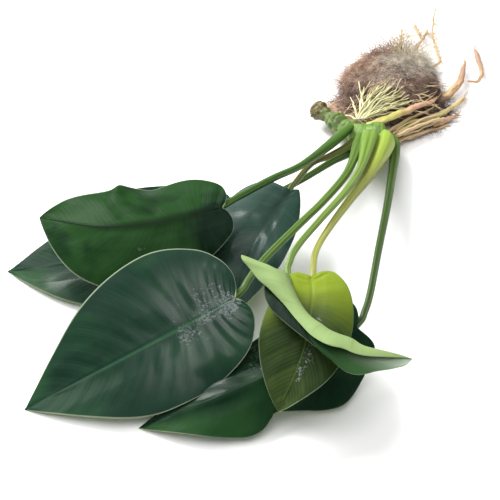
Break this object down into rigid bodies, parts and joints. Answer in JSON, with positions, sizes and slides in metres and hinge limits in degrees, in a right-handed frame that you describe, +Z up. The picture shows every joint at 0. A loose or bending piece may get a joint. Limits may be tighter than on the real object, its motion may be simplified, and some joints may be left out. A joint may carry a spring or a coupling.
{
  "type": "small anubias aquarium plant with bare roots in a fibre plug",
  "caption": "Small broad-leaved aquarium plant lying on its side: leaves on long stalks, a creeping rhizome, roots, and the plug of fibre the roots hold.",
  "frame": {"origin": "middle of the fibre plug's flat underside, on the surface the plant lies on", "axes": "+Z up from that surface; +Y from the leaves towards the root tips; +X to the right, so the leaves lie towards -X and -Y"},
  "size_m": [0.1375, 0.1721, 0.0316],
  "materials": {
    "blade": "wet dark green leaf, waxy and glossy above, paler below",
    "young_blade": "fresh yellow-green leaf, smooth and translucent",
    "stalk": "satin green stalk with a shallow groove",
    "young_stalk": "satin light green stalk with a wide sheath at its foot",
    "rhizome": "green ringed rhizome, olive brown and scaly at its cut end",
    "pale_root": "cream to yellow-green root, slightly moist",
    "thick_root": "tan root, dry and matt",
    "fibre": "matt matted mineral and coconut fibre, brown and grey"
  },
  "bodies": {
    "root": {"blade_raised": "blade", "blade_low": "blade", "blade_large": "blade", "blade_middle": "blade", "blade_front": "blade", "blade_young": "young_blade", "blade_folded": "blade", "stalk_raised": "stalk", "stalk_low": "stalk", "stalk_large": "stalk", "stalk_middle": "stalk", "stalk_front": "stalk", "stalk_young": "young_stalk", "stalk_folded": "young_stalk", "rhizome": "rhizome", "root_fan_1": "pale_root", "root_fan_2": "pale_root", "root_fan_3": "pale_root", "root_fan_4": "pale_root", "root_fan_5": "pale_root", "root_fan_6": "pale_root", "root_fan_7": "pale_root", "root_cut_end": "pale_root", "root_low_near": "pale_root", "root_low_middle": "pale_root", "root_long": "pale_root", "root_fork_stem": "pale_root", "root_fork_left": "pale_root", "root_fork_right": "pale_root", "root_back_left": "pale_root", "root_green": "pale_root", "root_thick": "thick_root", "root_tan": "thick_root", "root_brown": "thick_root", "root_brown_branch": "thick_root", "fibre_plug": "fibre"}
  },
  "joints": []
}
